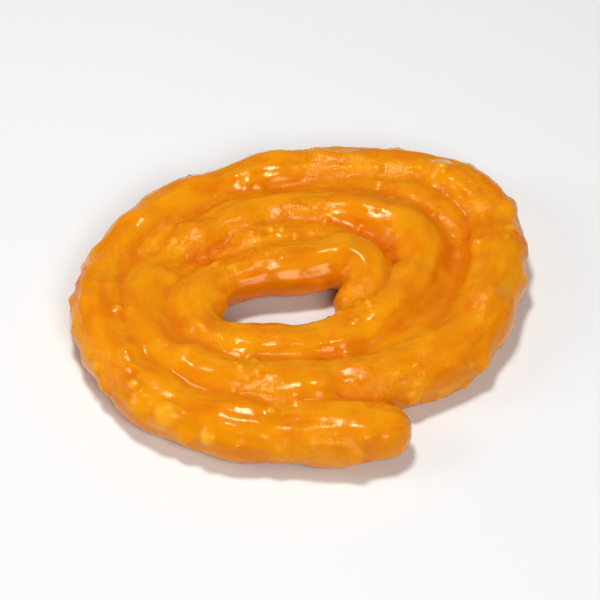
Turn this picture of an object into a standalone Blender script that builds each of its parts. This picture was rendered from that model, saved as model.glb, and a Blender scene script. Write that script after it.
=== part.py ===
"""Jalebi: one coil of piped and fried batter, lying flat.

A single strand starts beside an open middle and runs anticlockwise, seen from above, through
almost three oval turns to a blunt outer end at the front right. The turns lie about a strand's
width apart, and a web of batter fuses each to the next. The groove between them is deepest where
the strand is pinched and the web is thin. Puffed swellings make the coil lumpy all along, and
nubs stand out from the rim. The underside is flat where the coil rests.

Metres, +Z up. The origin is on the table, under the middle of the coil, and -Y is the front.
"""

import math
from dataclasses import dataclass

import bmesh
import bpy
from mathutils import Matrix, Vector, noise

# Driving dimensions, in metres unless the name says otherwise.
STRAND_RADIUS = 0.0060
STRAND_FLATTENED = 0.88  # height of the strand's section over its width
FATTER_SHARE = 0.09  # by which the strand is fatter towards FATTER_SIDE than on average
FATTER_SIDE = math.radians(-40)  # the front right
FIRST_TURN, LAST_TURN = -0.06, 2.815  # turns, counted from the right-hand side

INNER_HALF_WIDTH, INNER_HALF_DEPTH = 0.0146, 0.0068  # of the centre line's oval at turn 0
PITCH_ACROSS, PITCH_DEEP = 0.0109, 0.01154  # growth of each for each turn
MIDDLE = Vector((-0.0028, 0.0014, 0.0))  # of that oval
MIDDLE_DRIFT = Vector((0.0019, 0.00075, 0.0))  # for each turn
HOLE_TILT = math.radians(27)  # of the inmost oval, level by TILT_GONE_BY
TILT_GONE_BY = 5.5  # turns
DENTS = (
    (0.27, 0.0040, 0.13),  # turn, depth inwards, spread in turns
    (0.86, 0.0010, 0.09),
    (2.12, -0.0033, 0.10),
)
SQUARENESS = 0.075  # share by which the rim is fuller half-way between its four sides
SQUARER_RIGHT = 1.0  # share by which the right has more of that, and the left less
START_TUCK = 0.0050  # outwards, of the inner end against the next turn
START_THINNER = 0.25  # share by which the inner end is thinner
START_SPREAD = 0.12  # turns, over which both fade
END_THINNER = 0.42  # share by which the outer end is thinner
END_SPREAD = 0.011  # turns, over which that fades

HAND_WANDER = 0.0009  # sideways, of the piping hand
HAND_LENGTH = 0.030  # of strand for each wander
RIDE_HEIGHT = 0.0008  # up and down, of the strand over its neighbours
LUMP_SHARE = 0.11  # of the radius, by which the strand swells and thins
LUMP_LENGTH = 0.009  # of strand for each lump
PINCHES = ((1.03, 0.14), (0.41, 0.13), (1.43, 0.12), (2.10, 0.05))  # turn, share of the radius
PINCH_SPREAD = 0.035  # turns

SWELLING_STEP = 0.0052  # of strand from one swelling to the next
SWELLING_SIZE = 0.65  # of the strand's radius
SWELLING_OUT = 0.47  # of the strand's radius, from its centre line
SWELLING_UNEVEN = 0.12  # share by which their sizes differ
NUB_COUNT = 15
NUB_SIZE = 0.46  # of the strand's radius
NUB_OUT = 0.70  # of the strand's radius, from its centre line
NUB_UNEVEN = 0.3  # share by which their sizes differ
WEB_SIZE = 0.46  # of the strand's radius, over half the gap between two turns
WEB_SIDE = math.radians(220)  # the front left, where the turns fused most
WEB_SIDE_SHARE = 0.45
WEB_LENGTH = 0.011  # of strand for each swelling of the web
WEB_UNEVEN = 0.3  # share by which it swells and thins
SLITS = ((0.40, 0.5, 0.04), (0.04, 0.8, 0.05), (1.04, 0.7, 0.05))  # turn, share gone, spread
REST_CUT = 0.0006  # what the table takes off the round underside

STATION_STEP = 0.002
SKIN_VOXEL = 0.0014
SKIN_SOOTHING = 4  # rounds of smoothing
TRIANGLE_SHARE = 0.44  # kept when the skin is thinned

BATTER_COLOUR = (0.80, 0.25, 0.006, 1.0)


@dataclass
class Station:
    """A place on the strand: its turn, the strand piped before it, and the strand there."""

    turn: float
    run: float
    centre: Vector
    outwards: Vector
    radius: float


def even_noise(at, row):
    """Smooth noise from about -1 to 1 along a line; each row is a different line."""
    return 1.6 * noise.noise(Vector((at, 7.3 * row + 0.37, 1.91)))


def nearness(turn, at, spread):
    """1 at that turn, fading to 0 on both sides of it."""
    return math.exp(-(((turn - at) / spread) ** 2))


def near_start(turn):
    """1 at the inner end, fading to 0 along the strand."""
    return nearness(turn, FIRST_TURN, START_SPREAD)


def oval(turn, wander=0.0):
    """The level curve that the hand follows, wandering off it by this much."""
    angle = 2 * math.pi * turn
    tilt = HOLE_TILT * max(0.0, 1 - turn / TILT_GONE_BY)
    dented = sum(depth * nearness(turn, at, spread) for at, depth, spread in DENTS)
    outside = START_TUCK * near_start(turn) + wander - dented
    half_width = INNER_HALF_WIDTH + PITCH_ACROSS * turn + outside
    half_depth = INNER_HALF_DEPTH + PITCH_DEEP * turn + outside
    place = Vector((half_width * math.cos(angle - tilt), half_depth * math.sin(angle - tilt), 0.0))
    square = SQUARENESS * (1 + SQUARER_RIGHT * math.cos(angle)) * turn / LAST_TURN
    place *= 1 + square * math.sin(2 * angle) ** 2
    return MIDDLE + MIDDLE_DRIFT * turn + Matrix.Rotation(tilt, 3, "Z") @ place


def strand_radius(turn, run):
    """Half the strand's width at this turn."""
    side = FATTER_SHARE * math.cos(2 * math.pi * turn - FATTER_SIDE)
    lumps = LUMP_SHARE * even_noise(run / LUMP_LENGTH, 1)
    pinched = sum(share * nearness(turn, at, PINCH_SPREAD) for at, share in PINCHES)
    ends = START_THINNER * near_start(turn) + END_THINNER * nearness(turn, LAST_TURN, END_SPREAD)
    return STRAND_RADIUS * (1 + side + lumps - pinched - ends)


def station(turn, run):
    """The strand at this turn, with this much of it piped already."""
    nudge = 0.001
    along = oval(turn + nudge) - oval(turn - nudge)
    wander = HAND_WANDER * even_noise(run / HAND_LENGTH, 2)
    ride = Vector((0.0, 0.0, RIDE_HEIGHT * even_noise(run / HAND_LENGTH, 3)))
    outwards = Vector((along.y, -along.x, 0.0)).normalized()
    return Station(turn, run, oval(turn, wander) + ride, outwards, strand_radius(turn, run))


def stations_along(step):
    """Stations at even distances from one end of the strand to the other."""
    nudge = 0.001
    turn, run, found = FIRST_TURN, 0.0, []
    while turn < LAST_TURN:
        found.append(station(turn, run))
        turn += step * nudge / (oval(turn + nudge) - oval(turn)).length
        run += step
    return found


def strand_points(stations):
    """The strand's centre line, each place with the strand's radius there."""
    return [(here.centre, here.radius) for here in stations]


def web_points(stations):
    """The middle of the groove between each turn and the next, with the web's radius."""
    points = []
    for here in stations:
        if here.turn > LAST_TURN - 1:
            break
        beyond = oval(here.turn + 1)
        half_gap = max(0.0, (beyond - here.centre).length / 2 - here.radius)
        side = WEB_SIDE_SHARE * math.cos(2 * math.pi * here.turn - WEB_SIDE)
        size = WEB_SIZE * (1 + side + WEB_UNEVEN * even_noise(here.run / WEB_LENGTH, 8))
        kept = 1 - sum(share * nearness(here.turn, at, spread) for at, share, spread in SLITS)
        points.append(((here.centre + beyond) / 2, kept * (half_gap + size * here.radius)))
    return points


def bevelled(name, points, collection):
    """A round tube as a bevelled curve through the points."""
    curve = bpy.data.curves.new(name, "CURVE")
    curve.dimensions = "3D"
    curve.bevel_depth = STRAND_RADIUS
    curve.bevel_resolution = 4
    curve.use_fill_caps = True
    spline = curve.splines.new("POLY")
    spline.points.add(len(points) - 1)
    for point, (place, radius) in zip(spline.points, points, strict=True):
        point.co = (*place, 1.0)
        point.radius = radius / STRAND_RADIUS
    tube = bpy.data.objects.new(name, curve)
    collection.objects.link(tube)
    return tube


def add_ball(mesh, centre, radius):
    """A round swelling of the batter."""
    place = Matrix.Translation(centre)
    bmesh.ops.create_icosphere(mesh, subdivisions=3, radius=radius, matrix=place)


def add_ends(mesh, stations):
    """A round inner end and a blunt outer end."""
    add_ball(mesh, stations[0].centre, stations[0].radius)
    blunt = stations[-3]
    add_ball(mesh, blunt.centre, blunt.radius)


def add_swellings(mesh):
    """Swellings all along the strand, each to another side of it."""
    golden_angle = math.pi * (3 - math.sqrt(5))
    for i, here in enumerate(stations_along(SWELLING_STEP)):
        angle = i * golden_angle
        aside = math.cos(angle) * here.outwards + Vector((0.0, 0.0, math.sin(angle)))
        size = SWELLING_SIZE * here.radius * (1 + SWELLING_UNEVEN * even_noise(i * 0.77, 4))
        add_ball(mesh, here.centre + SWELLING_OUT * here.radius * aside, size)


def add_nubs(mesh, stations):
    """Puffed nubs along the rim, which is the last turn of the strand."""
    rim = [here for here in stations if here.turn > LAST_TURN - 1]
    for i in range(NUB_COUNT):
        share = (i + 0.5 + 0.4 * even_noise(i * 0.83, 5)) / NUB_COUNT
        here = rim[int(share * len(rim))]
        size = NUB_SIZE * here.radius * (1 + NUB_UNEVEN * even_noise(i * 0.71, 6))
        add_ball(mesh, here.centre + NUB_OUT * here.radius * here.outwards, size)


def loose_coil(tubes, stations):
    """The tubes and their swellings as one mesh of shells that still pass through each other."""
    bpy.context.view_layer.update()
    graph = bpy.context.evaluated_depsgraph_get()
    mesh = bmesh.new()
    for tube in tubes:
        mesh.from_mesh(bpy.data.meshes.new_from_object(tube.evaluated_get(graph), depsgraph=graph))
    bmesh.ops.remove_doubles(mesh, verts=mesh.verts, dist=1e-6)
    add_ends(mesh, stations)
    add_swellings(mesh)
    add_nubs(mesh, stations)
    flatten = Matrix.Diagonal((1.0, 1.0, STRAND_FLATTENED, 1.0))
    bmesh.ops.transform(mesh, matrix=flatten, verts=mesh.verts)
    xs = [vert.co.x for vert in mesh.verts]
    ys = [vert.co.y for vert in mesh.verts]
    middle = Vector((min(xs) + max(xs), min(ys) + max(ys), 0.0)) / 2
    lift = Vector((0.0, 0.0, STRAND_FLATTENED * STRAND_RADIUS - REST_CUT))
    bmesh.ops.translate(mesh, vec=lift - middle, verts=mesh.verts)
    coil = bpy.data.meshes.new("jalebi")
    mesh.to_mesh(coil)
    mesh.free()
    return coil


def table_cutter(collection):
    """The table's top, which trims the underside to a flat."""
    side, depth = 0.2, 0.02
    bpy.ops.mesh.primitive_cube_add(size=1, location=(0.0, 0.0, -depth / 2))
    table = bpy.context.object
    table.name = "table_cutter"
    table.scale = (side, side, depth)
    bpy.ops.object.transform_apply(location=False, rotation=False, scale=True)
    for owner in list(table.users_collection):
        owner.objects.unlink(table)
    collection.objects.link(table)
    table.hide_render = True
    table.display_type = "WIRE"
    return table


def fuse(coil, table):
    """Fuses the turns into one skin, thins its triangles and trims it on the table."""
    skin = coil.modifiers.new("fused_skin", "REMESH")
    skin.mode = "VOXEL"
    skin.voxel_size = SKIN_VOXEL
    skin.use_smooth_shade = True
    soothed = coil.modifiers.new("soothed", "SMOOTH")
    soothed.factor = 0.5
    soothed.iterations = SKIN_SOOTHING
    thin = coil.modifiers.new("thinned", "DECIMATE")
    thin.ratio = TRIANGLE_SHARE
    thin.use_collapse_triangulate = True
    trim = coil.modifiers.new("rest_face", "BOOLEAN")
    trim.operation = "DIFFERENCE"
    trim.object = table
    trim.solver = "EXACT"


def batter_material():
    """Fried batter soaked in saffron syrup."""
    material = bpy.data.materials.new("syrup_soaked_batter")
    material.use_nodes = True
    shader = material.node_tree.nodes["Principled BSDF"]
    shader.inputs["Base Color"].default_value = BATTER_COLOUR
    shader.inputs["Roughness"].default_value = 0.28
    shader.inputs["Metallic"].default_value = 0.0
    return material


def new_collection(name):
    """A collection of that name in the scene."""
    collection = bpy.data.collections.new(name)
    bpy.context.scene.collection.children.link(collection)
    return collection


def clear_scene():
    """Removes whatever the file opened with."""
    for old in list(bpy.data.objects):
        bpy.data.objects.remove(old)


def main():
    """Builds the jalebi."""
    clear_scene()
    parts = new_collection("jalebi")
    helpers = new_collection("cutters")
    stations = stations_along(STATION_STEP)
    strand = bevelled("strand", strand_points(stations), helpers)
    web = bevelled("web", web_points(stations), helpers)
    jalebi = bpy.data.objects.new("jalebi", loose_coil((strand, web), stations))
    for tube in (strand, web):
        bpy.data.objects.remove(tube)
    parts.objects.link(jalebi)
    jalebi.data.materials.append(batter_material())
    fuse(jalebi, table_cutter(helpers))


main()
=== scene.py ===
"""One jalebi, glossy with saffron syrup, on a pale table.

The coil is made the way a sweet maker makes it. A strand of batter is piped in an oval spiral,
it swells and blisters as it fries, its turns fuse where they touch, and it soaks up syrup.
Metres, +Z up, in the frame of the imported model. The front of the coil faces -Y.
"""

import logging
import math
import random
from collections.abc import Sequence
from dataclasses import dataclass, field
from enum import Enum
from typing import Union

import bmesh
import bpy
import numpy as np
from mathutils import Matrix, Vector, noise
from mathutils.kdtree import KDTree

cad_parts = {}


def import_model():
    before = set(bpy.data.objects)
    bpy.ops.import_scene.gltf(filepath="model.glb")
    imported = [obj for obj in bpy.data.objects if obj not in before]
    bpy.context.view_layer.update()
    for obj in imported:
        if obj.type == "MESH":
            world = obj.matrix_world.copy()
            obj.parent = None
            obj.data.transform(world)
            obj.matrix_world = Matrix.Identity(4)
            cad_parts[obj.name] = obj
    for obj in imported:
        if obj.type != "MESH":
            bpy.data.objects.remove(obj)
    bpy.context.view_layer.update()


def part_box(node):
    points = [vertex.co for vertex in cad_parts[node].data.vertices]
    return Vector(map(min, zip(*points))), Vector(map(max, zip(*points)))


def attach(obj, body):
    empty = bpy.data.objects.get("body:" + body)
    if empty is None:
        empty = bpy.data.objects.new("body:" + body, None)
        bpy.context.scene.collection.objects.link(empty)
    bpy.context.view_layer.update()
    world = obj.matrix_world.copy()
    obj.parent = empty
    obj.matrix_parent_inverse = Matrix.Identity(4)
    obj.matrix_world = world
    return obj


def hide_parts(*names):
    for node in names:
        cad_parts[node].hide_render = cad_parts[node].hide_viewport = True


LOG = logging.getLogger("jalebi")
MM = 0.001
NODE = "jalebi"

NUDGE = 0.001  # turns, between which the direction and the speed of the spiral are taken
NOISE_GAIN = 1.6  # brings the noise to a range from about -1 to 1
ROW_GAP, ROW_START, ROW_DEPTH = 7.3, 0.37, 1.91  # where the rows of noise lie in space
EASE = 0.5  # of the way to its neighbours' mean that a point goes in one round

Feed = Union["Shade", float, Sequence[float]]
Colour = tuple[float, float, float, float]
Grade = tuple[float, float]  # the readings at which something starts and is complete


class Row(Enum):
    """The rows of noise, one for each thing that a hand and a pan do unevenly."""

    LUMPS = 1
    WANDER = 2
    RIDE = 3
    SWELLING_SIZES = 4
    NUB_PLACES = 5
    NUB_SIZES = 6
    WEB = 8


class Mark(Enum):
    """What is left on each point of the skin for the finish to read."""

    GROOVE = "groove"
    RIDGE = "ridge"
    # the strand's sides below its crown, where shade is painted
    FLANK = "flank"
    DRY = "dry"
    BLISTER = "blister"  # over 0 on a full one, under 0 in a burst one
    PIPED = "piped"  # the point's place on the strand


class Detail(Enum):
    """How many finer layers a mottling holds."""

    SOFT = 2.0
    CRISP = 3.0


def even_noise(at: float, row: Row) -> float:
    """Smooth noise along a line.

    Args:
        at: How far along the line.
        row: Which line; each is different.

    Returns:
        A value from about -1 to 1.
    """
    return NOISE_GAIN * noise.noise(Vector((at, ROW_GAP * row.value + ROW_START, ROW_DEPTH)))


def noise_at(places: np.ndarray) -> np.ndarray:
    """Smooth noise in space.

    Args:
        places: Where it is read, in the noise's own units.

    Returns:
        Values from about -1 to 1.
    """
    return NOISE_GAIN * np.array([noise.noise(Vector(place)) for place in places])


def nearness(turn: float, at: float, spread: float) -> float:
    """How near one turn is to another.

    Args:
        turn: The turn.
        at: The other turn.
        spread: How fast the nearness fades, in turns.

    Returns:
        1 at the other turn, fading to 0 on both sides of it.
    """
    return math.exp(-(((turn - at) / spread) ** 2))


def smooth_step(values: np.ndarray, low: float, high: float) -> np.ndarray:
    """Goes smoothly from 0 at low to 1 at high.

    Args:
        values: The values to grade.
        low: Where the grade leaves 0.
        high: Where it reaches 1.

    Returns:
        The grades, from 0 to 1.
    """
    share = np.clip((values - low) / (high - low), 0.0, 1.0)
    return share * share * (3.0 - 2.0 * share)


# ---------------------------------------------------------------- shader sums


class Shade:
    """One socket of a material, on which sums are written as on a number."""

    def __init__(self, bench: "Bench", socket: bpy.types.NodeSocket) -> None:
        """Wraps a socket.

        Args:
            bench: The material that the socket belongs to.
            socket: An output socket.
        """
        self.bench = bench
        self.socket = socket

    def _sum(self, operation: str, first: Feed, second: Feed) -> "Shade":
        """Adds a Math node.

        Args:
            operation: The node's operation.
            first: Its first value.
            second: Its second value.

        Returns:
            The result.
        """
        return self.bench.node("ShaderNodeMath", {"operation": operation}, {0: first, 1: second})

    def __add__(self, other: Feed) -> "Shade":
        """self + other"""
        return self._sum("ADD", self, other)

    def __radd__(self, other: Feed) -> "Shade":
        """other + self"""
        return self._sum("ADD", other, self)

    def __sub__(self, other: Feed) -> "Shade":
        """self - other"""
        return self._sum("SUBTRACT", self, other)

    def __rsub__(self, other: Feed) -> "Shade":
        """other - self"""
        return self._sum("SUBTRACT", other, self)

    def __mul__(self, other: Feed) -> "Shade":
        """self * other"""
        return self._sum("MULTIPLY", self, other)

    def __rmul__(self, other: Feed) -> "Shade":
        """other * self"""
        return self._sum("MULTIPLY", other, self)

    def graded(self, low: float, high: float) -> "Shade":
        """Goes smoothly from 0 at low to 1 at high.

        Args:
            low: Where the grade leaves 0.
            high: Where it reaches 1.

        Returns:
            The grade.
        """
        sockets = {"Value": self, "From Min": low, "From Max": high}
        return self.bench.node("ShaderNodeMapRange", {"interpolation_type": "SMOOTHSTEP"}, sockets)


class Bench:
    """A material's nodes, and the few ways in which they are made here."""

    MIX_FACTOR, MIX_A, MIX_B, MIX_RESULT = 0, 6, 7, 2  # sockets of a Mix node set to colours

    def __init__(self, name: str) -> None:
        """Starts an empty material.

        Args:
            name: The material's name.
        """
        self.material = bpy.data.materials.new(name)
        self.material.use_nodes = True
        self.tree = self.material.node_tree
        self.tree.nodes.clear()

    def node(
        self,
        kind: str,
        settings: dict[str, object] | None = None,
        sockets: dict[str | int, Feed] | None = None,
        output: str | int = 0,
    ) -> Shade | None:
        """Adds a node.

        Args:
            kind: The node's type.
            settings: Its settings, which are set first.
            sockets: Values or links for its input sockets.
            output: The output socket that is wanted.

        Returns:
            That output, or None for a node with no outputs.
        """
        made = self.tree.nodes.new(kind)
        for name, value in (settings or {}).items():
            setattr(made, name, value)
        for name, value in (sockets or {}).items():
            if isinstance(value, Shade):
                self.tree.links.new(value.socket, made.inputs[name])
            else:
                made.inputs[name].default_value = value
        return Shade(self, made.outputs[output]) if made.outputs else None

    def laid(self, share: Feed, under: Feed, over: Feed) -> Shade:
        """Lays one colour over another.

        Args:
            share: How much of it is laid, from 0 to 1.
            under: The colour below.
            over: The colour on top.

        Returns:
            The mixed colour.
        """
        sockets = {self.MIX_FACTOR: share, self.MIX_A: under, self.MIX_B: over}
        return self.node("ShaderNodeMix", {"data_type": "RGBA"}, sockets, self.MIX_RESULT)

    def place(self) -> Shade:
        """The point's place on the object."""
        return self.node("ShaderNodeTexCoord", output="Object")

    def mark(self, mark: Mark, output: str = "Fac") -> Shade:
        """A mark that was left on the skin."""
        return self.node("ShaderNodeAttribute", {"attribute_name": mark.value}, output=output)

    def stretched(self, place: Shade, scale: Sequence[float]) -> Shade:
        """Scales a place along each axis.

        Args:
            place: The place.
            scale: The scale along X, Y and Z.

        Returns:
            The scaled place.
        """
        return self.node("ShaderNodeVectorMath", {"operation": "MULTIPLY"}, {0: place, 1: scale})

    def mottle(self, place: Shade, size: float, detail: Detail = Detail.SOFT) -> Shade:
        """Soft, cloudy mottling.

        Args:
            place: Where it is read.
            size: The patches' size, in the place's own units.
            detail: How finely it is layered.

        Returns:
            A value from 0 to 1, mostly near 0.5.
        """
        sockets = {"Vector": place, "Scale": 1 / size, "Detail": detail.value}
        return self.node("ShaderNodeTexNoise", sockets=sockets)

    def cells(self, place: Shade, size: float) -> Shade:
        """The distance to the nearest of scattered points, in cell sizes.

        Args:
            place: Where it is read.
            size: The cells' size, in metres.

        Returns:
            0 at a point, up to about 0.8 between them.
        """
        return self.node("ShaderNodeTexVoronoi", sockets={"Vector": place, "Scale": 1 / size})

    def bumped(self, height: Shade, depth: float, strength: float) -> Shade:
        """Turns a height into a normal.

        Args:
            height: The height, from 0 to 1.
            depth: What a height of 1 stands for, in metres.
            strength: How much of the effect is kept.

        Returns:
            The normal.
        """
        sockets = {"Height": height, "Distance": depth, "Strength": strength}
        return self.node("ShaderNodeBump", sockets=sockets, output="Normal")

    def surfaced(self, sockets: dict[str | int, Feed]) -> bpy.types.Material:
        """Ends the material in one Principled shader.

        Args:
            sockets: Values or links for the shader.

        Returns:
            The finished material.
        """
        shader = self.node("ShaderNodeBsdfPrincipled", sockets=sockets)
        self.node("ShaderNodeOutputMaterial", sockets={"Surface": shader})
        return self.material


@dataclass(frozen=True)
class Wash:
    """A colour that is laid on where a reading of the skin is high.

    Fields: the colour, the most of it that is laid, and the readings between which it goes from
    none to that most. Without a grade, it is laid in proportion to the reading.
    """

    colour: Colour
    most: float
    grade: Grade | None = None

    def over(self, under: Feed, reading: Shade) -> Shade:
        """Lays the colour.

        Args:
            under: The colour below.
            reading: The pattern or the mark that the colour follows.

        Returns:
            The mixed colour.
        """
        shown = reading.graded(*self.grade) if self.grade else reading
        return reading.bench.laid(shown * self.most, under, self.colour)


# ---------------------------------------------------------------- finishes

SAFFRON: Colour = (0.77, 0.257, 0.002, 1.0)
SUNNY: Colour = (0.84, 0.334, 0.003, 1.0)
# deep amber: the streaks' own tone, and painted shade in the grooves and on the lower sides
AMBER_AND_SHADE: Colour = (0.66, 0.105, 0.0004, 1.0)
# pale yellow orange: painted highlight on the crests, and on blisters their paler skin with painted
# highlight
PALE_HIGHLIGHT: Colour = (0.95, 0.44, 0.020, 1.0)
CRUST: Colour = (0.74, 0.18, 0.001, 1.0)
# painted shade in the deepest creases
DEEP_AMBER_SHADE: Colour = (0.62, 0.075, 0.0003, 1.0)


@dataclass(frozen=True)
class SoakedBatterFinish:
    """Fried batter, soaked through and shining with saffron syrup."""

    name: str = "soaked_batter"
    ground: Colour = SAFFRON  # under the washes, which follow in the order they are laid
    patches: Wash = Wash(SUNNY, 0.75, (0.35, 0.66))
    patch_size: float = 9 * MM
    streaks: Wash = Wash(AMBER_AND_SHADE, 0.40, (0.42, 0.70))
    streak_stretch: tuple[float, float, float] = (1 / (7 * MM), 1.8, 1.8)  # along, aside and up
    freckles: Wash = Wash(CRUST, 0.5)
    freckle_size: float = 1.9 * MM
    freckle_edge: Grade = (0.08, 0.30)  # from its middle, in cell sizes
    freckle_crowds: Grade = (0.48, 0.62)  # of a mottling twice their size
    # painted highlight, pale, on the crests of the strand
    ridges: Wash = Wash(PALE_HIGHLIGHT, 1.0)
    highlight_least: float = 0.2  # share of the painted highlight on a crest between its speckles
    highlight_speckle: float = 0.4  # share of painted highlight that a speckle adds
    speckle_size: float = 1.6 * MM
    speckle_grade: Grade = (0.50, 0.75)
    # paler puffed skin on the full blisters, with painted highlight, most on big ones
    full_blister_pale_and_highlight: Wash = Wash(PALE_HIGHLIGHT, 0.65, (0.30, 0.95))
    burst_blisters: Wash = Wash(CRUST, 0.7, (0.1, 0.8))
    # the deeper amber of syrup pooled in the grooves, and painted shade there
    grooves: Wash = Wash(AMBER_AND_SHADE, 0.85)
    # painted shade on the strand's sides below its crown
    flank_shade: Wash = Wash(AMBER_AND_SHADE, 0.32)
    # painted shade, deeper still, where the grooves are deepest
    crease_shade: Wash = Wash(DEEP_AMBER_SHADE, 0.8, (0.6, 1.0))

    skin_size: float = 0.7 * MM
    skin_depth: float = 0.20 * MM
    pore_size: float = 1.2 * MM
    pore_depth: float = 0.042 * MM
    pore_edge: Grade = (0.0, 0.35)  # from its middle, in cell sizes
    wet_relief: float = 0.35  # share of the dry skin's relief
    relief_strength: float = 0.8

    wet_rough: float = 0.14
    dry_rougher: float = 0.30  # in the blotches of dry skin
    groove_rougher: float = 0.30
    blotch_size: float = 3 * MM
    blotch_grade: Grade = (0.3, 0.7)
    gleam: float = 0.30
    gleam_colour: Colour = (1.0, 0.76, 0.38, 1.0)
    glow: float = 0.60
    glow_spread: tuple[float, float, float] = (1.0, 0.36, 0.04)  # of red, green and blue
    glow_depth: float = 4 * MM
    syrup_bending: float = 1.47
    dry_coat: float = 0.01
    wet_coat: float = 0.07  # more than the dry skin's
    coat_rough: float = 0.04

    def colour(self, bench: Bench) -> Shade:
        """The colour: patches, streaks and freckles, painted highlight on ridges, paler blisters with
        painted highlight, and pooled syrup and painted shade in the grooves, creases and lower sides.

        Args:
            bench: The material.

        Returns:
            The colour.
        """
        place = bench.place()
        piped = bench.stretched(bench.mark(Mark.PIPED, "Vector"), self.streak_stretch)
        speckle = bench.mottle(place, self.speckle_size, Detail.CRISP).graded(*self.speckle_grade)
        freckle = 1 - bench.cells(place, self.freckle_size).graded(*self.freckle_edge)
        crowded = bench.mottle(place, 2 * self.freckle_size).graded(*self.freckle_crowds)
        # painted highlight on the crests, broken up by speckles
        ridge = bench.mark(Mark.RIDGE) * (self.highlight_least + self.highlight_speckle * speckle)
        blister = bench.mark(Mark.BLISTER)
        groove = bench.mark(Mark.GROOVE)
        colour = self.patches.over(self.ground, bench.mottle(place, self.patch_size))
        colour = self.streaks.over(colour, bench.mottle(piped, 1.0, Detail.CRISP))
        colour = self.freckles.over(colour, freckle * crowded)
        # painted highlight on the crests
        colour = self.ridges.over(colour, ridge)
        # paler skin and painted highlight on full blisters, crust in burst ones
        colour = self.full_blister_pale_and_highlight.over(colour, blister)
        colour = self.burst_blisters.over(colour, 0 - blister)
        # pooled syrup and painted shade in the grooves, then painted shade on the lower sides and in the
        # creases
        colour = self.grooves.over(colour, groove)
        colour = self.flank_shade.over(colour, bench.mark(Mark.FLANK))
        return self.crease_shade.over(colour, groove)

    def relief(self, bench: Bench) -> Shade:
        """The fine relief of the skin, which syrup evens out where it is wet.

        Args:
            bench: The material.

        Returns:
            The normal.
        """
        place = bench.place()
        skin = bench.mottle(place, self.skin_size, Detail.CRISP)
        pores = 1 - bench.cells(place, self.pore_size).graded(*self.pore_edge)
        shown = self.wet_relief + (1 - self.wet_relief) * bench.mark(Mark.DRY)
        height = (skin - self.pore_depth / self.skin_depth * pores) * shown
        return bench.bumped(height, self.skin_depth, self.relief_strength)

    def roughness(self, bench: Bench) -> Shade:
        """The roughness: smooth where wet, rougher in dry blotches and in grooves.

        Args:
            bench: The material.

        Returns:
            The roughness.
        """
        blotches = bench.mottle(bench.place(), self.blotch_size, Detail.CRISP)
        dry = bench.mark(Mark.DRY) * blotches.graded(*self.blotch_grade)
        groove = bench.mark(Mark.GROOVE)
        return self.wet_rough + self.dry_rougher * dry + self.groove_rougher * groove

    def material(self) -> bpy.types.Material:
        """Makes the material.

        Returns:
            The material.
        """
        bench = Bench(self.name)
        return bench.surfaced(
            {
                "Base Color": self.colour(bench),
                "Roughness": self.roughness(bench),
                "Specular IOR Level": self.gleam,
                "Specular Tint": self.gleam_colour,
                "Subsurface Weight": self.glow,
                "Subsurface Radius": self.glow_spread,
                "Subsurface Scale": self.glow_depth,
                "IOR": self.syrup_bending,
                "Coat Weight": self.dry_coat + self.wet_coat * (1 - bench.mark(Mark.DRY)),
                "Coat Roughness": self.coat_rough,
                "Normal": self.relief(bench),
            }
        )


@dataclass(frozen=True)
class TableFinish:
    """A pale, matt table top."""

    name: str = "table"
    white: Colour = (0.86, 0.86, 0.85, 1.0)
    clouds: Wash = Wash((0.83, 0.83, 0.825, 1.0), 1.0)
    cloud_size: float = 0.2
    rough: float = 0.6
    gleam: float = 0.2

    def material(self) -> bpy.types.Material:
        """Makes the material.

        Returns:
            The material.
        """
        bench = Bench(self.name)
        colour = self.clouds.over(self.white, bench.mottle(bench.place(), self.cloud_size))
        return bench.surfaced(
            {"Base Color": colour, "Roughness": self.rough, "Specular IOR Level": self.gleam}
        )


# ---------------------------------------------------------------- the strand


@dataclass(frozen=True)
class Station:
    """A place on the strand.

    Fields: its turn, the strand piped before it, its centre, the directions along the strand
    and towards the rim, and half the strand's width.
    """

    turn: float
    run: float
    centre: Vector
    along: Vector
    outwards: Vector
    radius: float


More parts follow.
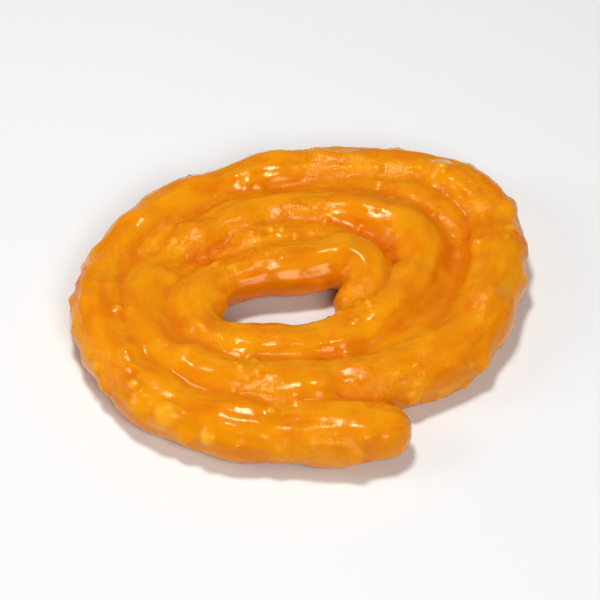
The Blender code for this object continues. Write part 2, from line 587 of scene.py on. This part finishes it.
@dataclass(frozen=True)
class PipedStrand:
    """The strand as the hand pipes it: an oval spiral of almost three turns."""

    radius: float = 6.0 * MM
    flattened: float = 0.88  # height of its section over its width
    fatter_share: float = 0.09  # by which it is fatter towards fatter_side
    fatter_side: float = math.radians(-40)  # the front right
    first_turn: float = -0.06  # turns are counted from the right-hand side
    last_turn: float = 2.815
    inner_half_width: float = 14.6 * MM  # of the centre line's oval at turn 0
    inner_half_depth: float = 6.8 * MM
    pitch_across: float = 10.9 * MM  # growth of each for each turn
    pitch_deep: float = 11.54 * MM
    middle: tuple[float, float, float] = (-2.8 * MM, 1.4 * MM, 0.0)  # of that oval
    middle_drift: tuple[float, float, float] = (1.9 * MM, 0.75 * MM, 0.0)  # for each turn
    hole_tilt: float = math.radians(27)  # of the inmost oval, level by tilt_gone_by
    tilt_gone_by: float = 5.5  # turns
    dents: tuple[tuple[float, float, float], ...] = (
        (0.27, 4.0 * MM, 0.13),  # turn, depth inwards, spread in turns
        (0.86, 1.0 * MM, 0.09),
        (2.12, -3.3 * MM, 0.10),
    )
    squareness: float = 0.075  # by which the rim is fuller half-way between its four sides
    squarer_right: float = 1.0  # by which the right has more of that, and the left less
    start_tuck: float = 5.0 * MM  # outwards, of the inner end against the next turn
    start_thinner: float = 0.25  # share by which the inner end is thinner
    start_spread: float = 0.12  # turns, over which both fade
    end_thinner: float = 0.42  # share by which the outer end is thinner
    end_spread: float = 0.011  # turns, over which that fades
    hand_wander: float = 0.9 * MM  # sideways, of the piping hand
    hand_length: float = 30 * MM  # of strand for each wander
    ride_height: float = 0.8 * MM  # up and down, of the strand over its neighbours
    lump_share: float = 0.11  # of the radius, by which the strand swells and thins
    lump_length: float = 9 * MM  # of strand for each lump
    pinches: tuple[tuple[float, float], ...] = (
        (1.03, 0.14),  # turn, share of the radius
        (0.41, 0.13),
        (1.43, 0.12),
        (2.10, 0.05),
    )
    pinch_spread: float = 0.035  # turns

    @property
    def rim_turn(self) -> float:
        """The turn from which the strand is the rim of the coil."""
        return self.last_turn - 1

    def near_start(self, turn: float) -> float:
        """1 at the inner end, fading to 0 along the strand."""
        return nearness(turn, self.first_turn, self.start_spread)

    def oval(self, turn: float, wander: float = 0.0) -> Vector:
        """The level curve that the hand follows.

        Args:
            turn: The turn.
            wander: How far outside the curve the hand is.

        Returns:
            The place.
        """
        angle = 2 * math.pi * turn
        tilt = self.hole_tilt * max(0.0, 1 - turn / self.tilt_gone_by)
        dented = sum(depth * nearness(turn, at, spread) for at, depth, spread in self.dents)
        outside = self.start_tuck * self.near_start(turn) + wander - dented
        half_width = self.inner_half_width + self.pitch_across * turn + outside
        half_depth = self.inner_half_depth + self.pitch_deep * turn + outside
        place = Vector((half_width * math.cos(angle - tilt), half_depth * math.sin(angle - tilt), 0))
        square = self.squareness * (1 + self.squarer_right * math.cos(angle)) * turn / self.last_turn
        place *= 1 + square * math.sin(2 * angle) ** 2
        middle = Vector(self.middle) + Vector(self.middle_drift) * turn
        return middle + Matrix.Rotation(tilt, 3, "Z") @ place

    def radius_at(self, turn: float, run: float) -> float:
        """Half the strand's width.

        Args:
            turn: The turn.
            run: The strand piped before it.

        Returns:
            The radius.
        """
        side = self.fatter_share * math.cos(2 * math.pi * turn - self.fatter_side)
        lumps = self.lump_share * even_noise(run / self.lump_length, Row.LUMPS)
        pinched = sum(share * nearness(turn, at, self.pinch_spread) for at, share in self.pinches)
        thinner = self.start_thinner * self.near_start(turn)
        rounded = self.end_thinner * nearness(turn, self.last_turn, self.end_spread)
        return self.radius * (1 + side + lumps - pinched - thinner - rounded)

    def station(self, turn: float, run: float) -> Station:
        """The strand at one place.

        Args:
            turn: The turn.
            run: The strand piped before it.

        Returns:
            The station.
        """
        along = (self.oval(turn + NUDGE) - self.oval(turn - NUDGE)).normalized()
        wander = self.hand_wander * even_noise(run / self.hand_length, Row.WANDER)
        ride = self.ride_height * even_noise(run / self.hand_length, Row.RIDE)
        outwards = Vector((along.y, -along.x, 0.0))
        centre = self.oval(turn, wander) + Vector((0.0, 0.0, ride))
        return Station(turn, run, centre, along, outwards, self.radius_at(turn, run))

    def stations(self, step: float) -> list[Station]:
        """Stations at even distances from the inner end to the outer end.

        Args:
            step: The distance.

        Returns:
            The stations, in order.
        """
        turn, run, found = self.first_turn, 0.0, []
        while turn < self.last_turn:
            found.append(self.station(turn, run))
            turn += step * NUDGE / (self.oval(turn + NUDGE) - self.oval(turn)).length
            run += step
        return found


# ---------------------------------------------------------------- the loose shells


@dataclass(frozen=True)
class LooseShells:
    """The strand, the batter between its turns and what swells on it, before they fuse.

    Sizes and places with no unit are shares of the strand's radius.
    """

    strand: PipedStrand
    tube_resolution: int = 6
    ball_subdivisions: int = 3
    weld_distance: float = 0.001 * MM
    blunt_station: int = -3  # the one whose ball rounds the outer end
    swelling_step: float = 5.2 * MM
    swelling_size: float = 0.65
    swelling_out: float = 0.47  # from the centre line
    swelling_uneven: float = 0.12  # share by which their sizes differ
    swelling_pace: float = 0.77  # along its row of noise, for each swelling
    nub_count: int = 15
    nub_size: float = 0.46
    nub_out: float = 0.70  # from the centre line
    nub_uneven: float = 0.3  # share by which their sizes differ
    nub_size_pace: float = 0.71  # along its row of noise, for each nub
    nub_shift: float = 0.4  # of the gap between two nubs
    nub_shift_pace: float = 0.83
    web_size: float = 0.46  # over half the gap between two turns
    web_side: float = math.radians(220)  # the front left, where the turns fused most
    web_side_share: float = 0.45  # by which there is more of it there
    web_uneven: float = 0.3  # share by which it swells and thins
    web_length: float = 11 * MM  # of strand for each swelling of the web
    slits: tuple[tuple[float, float, float], ...] = (
        (0.40, 0.5, 0.04),  # turn, share of the web that is gone, spread in turns
        (0.04, 0.8, 0.05),
        (1.04, 0.7, 0.05),
    )

    def mesh(self, name: str, stations: Sequence[Station]) -> bpy.types.Mesh:
        """All the shells, which still pass through each other.

        Args:
            name: The mesh's name.
            stations: The strand's stations.

        Returns:
            One mesh.
        """
        shells = bmesh.new()
        shells.from_mesh(self.bevelled("strand", [(here.centre, here.radius) for here in stations]))
        shells.from_mesh(self.bevelled("web", self.web_points(stations)))
        bmesh.ops.remove_doubles(shells, verts=shells.verts, dist=self.weld_distance)
        for end in (stations[0], stations[self.blunt_station]):
            self.add_ball(shells, end.centre, end.radius)
        self.add_swellings(shells)
        self.add_nubs(shells, stations)
        flatten = Matrix.Diagonal((1.0, 1.0, self.strand.flattened, 1.0))
        bmesh.ops.transform(shells, matrix=flatten, verts=shells.verts)
        mesh = bpy.data.meshes.new(name)
        shells.to_mesh(mesh)
        shells.free()
        return mesh

    def bevelled(self, name: str, points: Sequence[tuple[Vector, float]]) -> bpy.types.Mesh:
        """A round tube through points.

        Args:
            name: Its name.
            points: Places on its centre line, each with the tube's radius there.

        Returns:
            The tube's mesh, with closed ends.
        """
        curve = bpy.data.curves.new(name, "CURVE")
        curve.dimensions = "3D"
        curve.bevel_depth = 1.0  # times each point's radius
        curve.bevel_resolution = self.tube_resolution
        curve.use_fill_caps = True
        spline = curve.splines.new("POLY")
        spline.points.add(len(points) - 1)
        for point, (place, radius) in zip(spline.points, points, strict=True):
            point.co = (*place, 1.0)
            point.radius = radius
        tube = bpy.data.objects.new(name, curve)
        bpy.context.scene.collection.objects.link(tube)
        bpy.context.view_layer.update()
        graph = bpy.context.evaluated_depsgraph_get()
        mesh = bpy.data.meshes.new_from_object(tube.evaluated_get(graph), depsgraph=graph)
        bpy.data.objects.remove(tube)
        return mesh

    def web_points(self, stations: Sequence[Station]) -> list[tuple[Vector, float]]:
        """The batter and syrup that fill the groove between each turn and the next.

        Args:
            stations: The strand's stations.

        Returns:
            Places along the groove, with the filling's radius.
        """
        points = []
        for here in stations:
            if here.turn > self.strand.rim_turn:
                break
            beyond = self.strand.oval(here.turn + 1)
            half_gap = max(0.0, (beyond - here.centre).length / 2 - here.radius)
            side = self.web_side_share * math.cos(2 * math.pi * here.turn - self.web_side)
            uneven = self.web_uneven * even_noise(here.run / self.web_length, Row.WEB)
            size = self.web_size * (1 + side + uneven)
            gone = sum(share * nearness(here.turn, at, spread) for at, share, spread in self.slits)
            points.append(((here.centre + beyond) / 2, (1 - gone) * (half_gap + size * here.radius)))
        return points

    def add_ball(self, shells: bmesh.types.BMesh, centre: Vector, radius: float) -> None:
        """Adds a round swelling of the batter.

        Args:
            shells: The mesh that it is added to.
            centre: Its centre.
            radius: Its radius.
        """
        bmesh.ops.create_icosphere(
            shells,
            subdivisions=self.ball_subdivisions,
            radius=radius,
            matrix=Matrix.Translation(centre),
        )

    def add_swellings(self, shells: bmesh.types.BMesh) -> None:
        """Adds swellings all along the strand, each to another side of it.

        Args:
            shells: The mesh that they are added to.
        """
        golden_angle = math.pi * (3 - math.sqrt(5))
        for i, here in enumerate(self.strand.stations(self.swelling_step)):
            angle = i * golden_angle
            aside = math.cos(angle) * here.outwards + Vector((0.0, 0.0, math.sin(angle)))
            uneven = self.swelling_uneven * even_noise(i * self.swelling_pace, Row.SWELLING_SIZES)
            size = self.swelling_size * here.radius * (1 + uneven)
            self.add_ball(shells, here.centre + self.swelling_out * here.radius * aside, size)

    def add_nubs(self, shells: bmesh.types.BMesh, stations: Sequence[Station]) -> None:
        """Adds puffed nubs along the rim.

        Args:
            shells: The mesh that they are added to.
            stations: The strand's stations.
        """
        rim = [here for here in stations if here.turn > self.strand.rim_turn]
        for i in range(self.nub_count):
            shift = self.nub_shift * even_noise(i * self.nub_shift_pace, Row.NUB_PLACES)
            here = rim[int((i + 0.5 + shift) / self.nub_count * len(rim))]
            uneven = self.nub_uneven * even_noise(i * self.nub_size_pace, Row.NUB_SIZES)
            size = self.nub_size * here.radius * (1 + uneven)
            self.add_ball(shells, here.centre + self.nub_out * here.radius * here.outwards, size)


# ---------------------------------------------------------------- the fried skin


class Skin:
    """A mesh's points as arrays, to push them in and out and to leave marks on them."""

    def __init__(self, mesh: bpy.types.Mesh) -> None:
        """Reads the mesh.

        Args:
            mesh: A closed mesh.
        """
        self.mesh = mesh
        count = len(mesh.vertices)
        self.points = np.empty(count * 3)
        mesh.vertices.foreach_get("co", self.points)
        self.points = self.points.reshape(-1, 3)
        self.edges = np.empty(len(mesh.edges) * 2, np.int32)
        mesh.edges.foreach_get("vertices", self.edges)
        self.edges = self.edges.reshape(-1, 2)
        self.valence = np.bincount(self.edges.ravel(), minlength=count)

    def normals(self) -> np.ndarray:
        """The points' normals as the mesh stands.

        Returns:
            One vector of length 1 for each point.
        """
        found = np.empty(len(self.points) * 3)
        self.mesh.vertex_normals.foreach_get("vector", found)
        return found.reshape(-1, 3)

    def eased(self, values: np.ndarray, rounds: int) -> np.ndarray:
        """Blurs values over the skin.

        Args:
            values: One row for each point.
            rounds: How often each point is eased towards its neighbours' mean.

        Returns:
            The blurred values.
        """
        first, second = self.edges.T
        count = len(self.points)
        for _ in range(rounds):
            total = np.stack(
                [
                    np.bincount(first, column[second], count) + np.bincount(second, column[first], count)
                    for column in values.T
                ],
                axis=1,
            )
            values = (1 - EASE) * values + EASE * total / self.valence[:, None]
        return values

    def hollowness(self, rounds: int) -> np.ndarray:
        """How far each point lies below the eased skin: over 0 in grooves, under 0 on ridges.

        Args:
            rounds: How much the skin is eased.

        Returns:
            The depths, in metres.
        """
        return ((self.eased(self.points, rounds) - self.points) * self.normals()).sum(axis=1)

    def push(self, amounts: np.ndarray) -> None:
        """Pushes each point out along its normal.

        Args:
            amounts: How far, in metres.
        """
        self.points = self.points + self.normals() * amounts[:, None]
        self.write()

    def write(self) -> None:
        """Puts the points back into the mesh."""
        self.mesh.vertices.foreach_set("co", self.points.ravel())
        self.mesh.update()

    def mark(self, mark: Mark, values: np.ndarray) -> None:
        """Leaves a mark on each point for the finish to read.

        Args:
            mark: The mark.
            values: One number or one vector for each point.
        """
        kind, key = ("FLOAT", "value") if values.ndim == 1 else ("FLOAT_VECTOR", "vector")
        attribute = self.mesh.attributes.new(mark.value, kind, "POINT")
        attribute.data.foreach_set(key, values.astype(np.float32).ravel())


@dataclass(frozen=True)
class Relief:
    """One layer of the skin's relief.

    Fields: its scale, by which the places that it is read at are multiplied, its depth in
    metres, and a shift in the noise that keeps it unlike the other layers.
    """

    scale: float | tuple[float, float, float]
    depth: float
    shift: float | tuple[float, float, float] = 0.0

    def heights(self, places: np.ndarray) -> np.ndarray:
        """How far each place is raised."""
        return self.depth * noise_at(places * np.array(self.scale) + np.array(self.shift))


@dataclass(frozen=True)
class Blister:
    """A bubble in the skin.

    Fields: the point at its middle, its radius, and its height over its radius, which is under
    0 for one that burst and sank.
    """

    STEEPNESS = 1.5  # of its sides, which end in a soft foot

    middle: int
    radius: float
    height: float

    def dome(self, distance: float) -> float:
        """1 at its middle, falling to 0 at its edge."""
        return (1 - (distance / self.radius) ** 2) ** self.STEEPNESS


@dataclass(frozen=True)
class Frying:
    """What the hot fat does to the skin: it lumps, wrinkles, dries in patches and blisters."""

    dry_size: float = 8 * MM
    dry_shift: float = 83.0
    dry_grade: Grade = (-0.35, 0.45)
    lumps: Relief = Relief(1 / (6.5 * MM), 0.26 * MM)
    dimples: Relief = Relief(1 / (2.6 * MM), 0.13 * MM, 31.0)
    dimples_wet: float = 0.4  # share of their depth on wet skin
    dimples_dry: float = 0.8  # share that dry skin adds
    grain: Relief = Relief(1 / (1.2 * MM), 0.08 * MM, 57.0)
    ripples: Relief = Relief((1 / (4.5 * MM), 0.7, 1.0), 0.12 * MM)  # across the strand
    lines: Relief = Relief((1 / (12 * MM), 2.6, 1.0), 0.24 * MM, (0.0, 0.0, 9.0))  # along it
    bare_aside: Grade = (0.7, 1.0)  # strand radii aside, over which the strand's relief fades
    bare_above: float = -0.5  # strand radii up, below which it doesn't fade

    seed: int = 29
    lone_blisters: int = 80
    blister_crowds: int = 16
    crowd_size: float = 6 * MM
    crowd_count: int = 7
    smallest_blister: float = 0.55 * MM
    blister_range: float = 1.35 * MM
    blister_rarity: int = 3  # how much rarer large ones are
    full_share: float = 0.8  # of the blisters; the others burst
    full_height: float = 0.42
    burst_height: float = -0.28
    big_height: float = 0.36
    big_blisters: tuple[tuple[float, float, float, float], ...] = (
        (2.661, 0.80, 0.65, 3.8 * MM),  # turn, places aside and up in strand radii, radius
        (2.690, 0.90, 0.45, 2.4 * MM),
        (2.628, 0.45, 0.90, 2.0 * MM),
    )
    faintest: float = 0.3  # mark of the smallest blister, which sets its paler skin and painted highlight, or its crust when burst
    clearest_radius: float = 2.4 * MM  # from which a blister's mark is full: its paler skin and painted highlight, or its crust

    def wrinkle(self, skin: Skin, places: np.ndarray) -> None:
        """Pushes the skin in and out: soft lumps, ripples across the strand and lines along it.

        Args:
            skin: The skin.
            places: Where each point lies on the strand.
        """
        run, aside, up = places.T
        around = np.stack([run, np.arctan2(up, aside), 0 * run], axis=1)
        on_strand = 1 - smooth_step(np.abs(aside), *self.bare_aside) * (up > self.bare_above)
        dry = smooth_step(noise_at(skin.points / self.dry_size + self.dry_shift), *self.dry_grade)
        layers = (
            self.lumps.heights(skin.points),
            self.dimples.heights(skin.points) * (self.dimples_wet + self.dimples_dry * dry),
            self.grain.heights(skin.points) * dry,
            self.ripples.heights(around) * on_strand,
            self.lines.heights(around) * on_strand,
        )
        skin.push(sum(layers))
        skin.mark(Mark.DRY, dry)

    def small_blisters(self, skin: Skin, tree: KDTree) -> list[Blister]:
        """Small bubbles, some alone and some in crowds.

        Args:
            skin: The skin.
            tree: Its points.

        Returns:
            The bubbles.
        """
        draw = random.Random(self.seed)
        count = len(skin.points)
        middles = [draw.randrange(count) for _ in range(self.lone_blisters)]
        for _ in range(self.blister_crowds):
            crowd = tree.find_range(skin.points[draw.randrange(count)], self.crowd_size)
            middles += [draw.choice(crowd)[1] for _ in range(self.crowd_count)]
        found = []
        for middle in middles:
            radius = self.smallest_blister + self.blister_range * draw.random() ** self.blister_rarity
            height = self.full_height if draw.random() < self.full_share else self.burst_height
            found.append(Blister(middle, radius, height))
        return found

    def large_blisters(
        self, tree: KDTree, strand: PipedStrand, stations: Sequence[Station]
    ) -> list[Blister]:
        """The few large bubbles on the rim.

        Args:
            tree: The skin's points.
            strand: The strand.
            stations: Its stations.

        Returns:
            The bubbles.
        """
        found = []
        for turn, aside, up, radius in self.big_blisters:
            here = min(stations, key=lambda station: abs(station.turn - turn))
            off = aside * here.outwards + Vector((0.0, 0.0, up * strand.flattened))
            middle = tree.find(here.centre + here.radius * off)[1]
            found.append(Blister(middle, radius, self.big_height))
        return found

    def blister(self, skin: Skin, strand: PipedStrand, stations: Sequence[Station]) -> None:
        """Raises bubbles on the skin, and sinks the ones that burst.

        Args:
            skin: The skin.
            strand: The strand.
            stations: Its stations.
        """
        tree = KDTree(len(skin.points))
        for i, point in enumerate(skin.points):
            tree.insert(point, i)
        tree.balance()
        pushed, marks = np.zeros(len(skin.points)), np.zeros(len(skin.points))
        for bubble in self.small_blisters(skin, tree) + self.large_blisters(tree, strand, stations):
            clear = self.faintest + (1 - self.faintest) * bubble.radius / self.clearest_radius
            shown = math.copysign(min(1.0, clear), bubble.height)
            for _, i, distance in tree.find_range(skin.points[bubble.middle], bubble.radius):
                dome = bubble.dome(distance)
                raised = bubble.height * bubble.radius * dome
                if abs(raised) > abs(pushed[i]):
                    pushed[i] = raised
                    marks[i] = shown * dome
        skin.push(pushed)
        skin.mark(Mark.BLISTER, marks)


# ---------------------------------------------------------------- the coil


@dataclass
class JalebiCoil:
    """The coil: the piped strand, the skin that fuses its turns, and its fried relief."""

    name: str = "jalebi_coil"
    strand: PipedStrand = field(default_factory=PipedStrand)
    frying: Frying = field(default_factory=Frying)
    finish: SoakedBatterFinish = field(default_factory=SoakedBatterFinish)
    station_step: float = 2 * MM
    rough_voxel: float = 0.7 * MM
    fillet: float = 0.55 * MM  # radius that rounds the grooves
    fine_voxel: float = 0.46 * MM
    quick_voxel: float = 0.8 * MM
    soothe_rounds: int = 4
    chunk: int = 8192  # points that are placed on the strand at a time
    hollow_rounds: int = 34  # of easing, from which grooves and ridges are told
    quick_hollow_rounds: int = 12
    groove_depths: Grade = (0.02 * MM, 0.48 * MM)
    ridge_heights: Grade = (0.10 * MM, 0.50 * MM)
    flank_reach: Grade = (0.40, 0.92)  # heights over the centre line, in strand radii
    rim_blend: float = 8 * MM
    rest_percent: float = 0.5  # of the points, which hang lower than the underside proper
    rest_cut: float = 0.6 * MM  # what the table takes off the round underside

    def build(self) -> bpy.types.Object:
        """Makes the coil.

        Returns:
            The finished piece.
        """
        stations = self.strand.stations(self.station_step)
        shells = LooseShells(self.strand).mesh(self.name, stations)
        coil = bpy.data.objects.new(self.name, shells)
        bpy.context.scene.collection.objects.link(coil)
        self.fuse(coil)
        skin = Skin(coil.data)
        places = self.piped_places(skin.points, stations)
        self.mark_hollows(skin)
        self.mark_flanks(skin, places, stations)
        self.frying.wrinkle(skin, places)
        self.frying.blister(skin, self.strand, stations)
        self.settle(skin)
        skin.mark(Mark.PIPED, places)
        coil.data.materials.append(self.finish.material())
        return coil

    def fuse(self, coil: bpy.types.Object) -> None:
        """Fuses the shells into one skin with rounded grooves.

        Args:
            coil: The object whose mesh holds the shells.
        """
        self.add_remesh(coil, self.rough_voxel)
        self.add_offset(coil, self.fillet)
        self.add_remesh(coil, self.rough_voxel)
        self.add_offset(coil, -self.fillet)
        self.add_remesh(coil, self.fine_voxel)
        soothe = coil.modifiers.new("soothed", "SMOOTH")
        soothe.factor = EASE
        soothe.iterations = self.soothe_rounds
        bpy.context.view_layer.update()
        graph = bpy.context.evaluated_depsgraph_get()
        fused = bpy.data.meshes.new_from_object(coil.evaluated_get(graph), depsgraph=graph)
        coil.modifiers.clear()
        coil.data = fused
        fused.shade_smooth()

    @staticmethod
    def add_remesh(coil: bpy.types.Object, voxel: float) -> None:
        """Adds a voxel remesh.

        Args:
            coil: The object.
            voxel: The voxel's size.
        """
        remesh = coil.modifiers.new("fused", "REMESH")
        remesh.mode = "VOXEL"
        remesh.voxel_size = voxel

    @staticmethod
    def add_offset(coil: bpy.types.Object, distance: float) -> None:
        """Moves the skin out, or in for a distance under 0.

        Args:
            coil: The object.
            distance: How far.
        """
        offset = coil.modifiers.new("offset", "DISPLACE")
        offset.direction = "NORMAL"
        offset.mid_level = 0.0
        offset.strength = distance

    def piped_places(self, points: np.ndarray, stations: Sequence[Station]) -> np.ndarray:
        """Where each point lies on the strand.

        Args:
            points: The points.
            stations: The strand's stations.

        Returns:
            For each point how far along the strand it is, in metres, and how far aside and up
            from its centre line, in strand radii.
        """
        flatten = np.array([1.0, 1.0, self.strand.flattened])
        centres = np.array([here.centre for here in stations]) * flatten
        along = np.array([here.along for here in stations])
        outwards = np.array([here.outwards for here in stations])
        runs = np.array([here.run for here in stations])
        radii = np.array([here.radius for here in stations])
        nearest = np.empty(len(points), np.int32)
        for start in range(0, len(points), self.chunk):
            gaps = points[start : start + self.chunk, None, :] - centres[None, :, :]
            nearest[start : start + self.chunk] = (gaps**2).sum(axis=2).argmin(axis=1)
        off = points - centres[nearest]
        return np.stack(
            [
                runs[nearest] + (off * along[nearest]).sum(axis=1),
                (off * outwards[nearest]).sum(axis=1) / radii[nearest],
                off[:, 2] / radii[nearest] / self.strand.flattened,
            ],
            axis=1,
        )

    def mark_hollows(self, skin: Skin) -> None:
        """Marks the grooves and the ridges.

        Args:
            skin: The skin.
        """
        hollow = skin.hollowness(self.hollow_rounds)
        skin.mark(Mark.GROOVE, smooth_step(hollow, *self.groove_depths))
        skin.mark(Mark.RIDGE, smooth_step(-hollow, *self.ridge_heights))

    def mark_flanks(self, skin: Skin, places: np.ndarray, stations: Sequence[Station]) -> None:
        """Marks the strand's sides below its crown, except on the outside of the rim, for painted shade.

        Args:
            skin: The skin.
            places: Where each point lies on the strand.
            stations: The strand's stations.
        """
        run, aside, up = places.T
        rim = next(here.run for here in stations if here.turn > self.strand.rim_turn)
        outside = smooth_step(run, rim - self.rim_blend, rim + self.rim_blend) * (aside > 0)
        skin.mark(Mark.FLANK, (1 - smooth_step(up, *self.flank_reach)) * (1 - outside))

    def settle(self, skin: Skin) -> None:
        """Lays the coil on the table, under the middle of its box, and flattens what touches.

        Args:
            skin: The skin.
        """
        low, high = (np.array(corner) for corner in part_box(NODE))
        middle = (low + high) / 2 - (skin.points.min(axis=0) + skin.points.max(axis=0)) / 2
        sink = np.percentile(skin.points[:, 2], self.rest_percent) + self.rest_cut
        skin.points += np.array([middle[0], middle[1], -sink])
        skin.points[:, 2] = np.maximum(skin.points[:, 2], 0.0)
        skin.write()


# ---------------------------------------------------------------- the studio


@dataclass(frozen=True)
class SoftLight:
    """A round soft light that faces the middle of the table.

    Fields: its name, its place, its diameter, and its power in watts.
    """

    name: str
    place: tuple[float, float, float]
    diameter: float
    power: float

    def hang(self) -> None:
        """Hangs the light."""
        lamp = bpy.data.lights.new(self.name, "AREA")
        lamp.shape = "DISK"
        lamp.size = self.diameter
        lamp.energy = self.power
        holder = bpy.data.objects.new(self.name, lamp)
        holder.location = self.place
        holder.rotation_euler = (-Vector(self.place)).to_track_quat("-Z", "Y").to_euler()
        bpy.context.scene.collection.objects.link(holder)


@dataclass
class Studio:
    """A pale table, soft lights and a camera that looks down at the front of the coil."""

    table_size: float = 6.0
    table_finish: TableFinish = field(default_factory=TableFinish)
    lights: tuple[SoftLight, ...] = (
        SoftLight("overhead", (-0.06, 0.06, 0.55), 0.12, 1.9),
        SoftLight("front", (0.16, -0.5, 0.42), 0.30, 2.1),
        SoftLight("left", (-0.5, -0.05, 0.30), 0.28, 0.75),
    )
    sky_colour: Colour = (1.0, 1.0, 1.0, 1.0)
    sky_strength: float = 0.12
    lens: float = 200.0  # millimetres
    distance: float = 0.66
    elevation: float = math.radians(45)

    def build(self, target: Vector) -> None:
        """Sets up the studio.

        Args:
            target: What the camera looks at.
        """
        self.lay_table()
        for light in self.lights:
            light.hang()
        self.light_sky()
        self.aim_camera(target)
        bpy.context.scene.view_settings.view_transform = "Standard"
        LOG.info("studio: a table and %d lights", len(self.lights))

    def lay_table(self) -> None:
        """Lays the table top under the coil."""
        bpy.ops.mesh.primitive_plane_add(size=self.table_size)
        table = bpy.context.object
        table.name = "table"
        table.data.materials.append(self.table_finish.material())

    def light_sky(self) -> None:
        """Lights the room evenly."""
        world = bpy.data.worlds.new("room")
        world.use_nodes = True
        room = world.node_tree.nodes["Background"]
        room.inputs["Color"].default_value = self.sky_colour
        room.inputs["Strength"].default_value = self.sky_strength
        bpy.context.scene.world = world

    def aim_camera(self, target: Vector) -> None:
        """Places the camera in front of and above the coil.

        Args:
            target: What it looks at.
        """
        lens = bpy.data.cameras.new("camera")
        lens.lens = self.lens
        camera = bpy.data.objects.new("camera", lens)
        back = Vector((0.0, -math.cos(self.elevation), math.sin(self.elevation)))
        camera.location = target + self.distance * back
        camera.rotation_euler = (-back).to_track_quat("-Z", "Y").to_euler()
        bpy.context.scene.collection.objects.link(camera)
        bpy.context.scene.camera = camera


def main() -> None:
    """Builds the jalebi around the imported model, then the studio."""
    logging.basicConfig(level=logging.INFO)
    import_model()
    coil = JalebiCoil().build()
    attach(coil, "root")
    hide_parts(NODE)
    LOG.info("coil: %d points, %d faces", len(coil.data.vertices), len(coil.data.polygons))
    low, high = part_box(NODE)
    Studio().build((low + high) / 2)


if __name__ == "__main__":
    main()
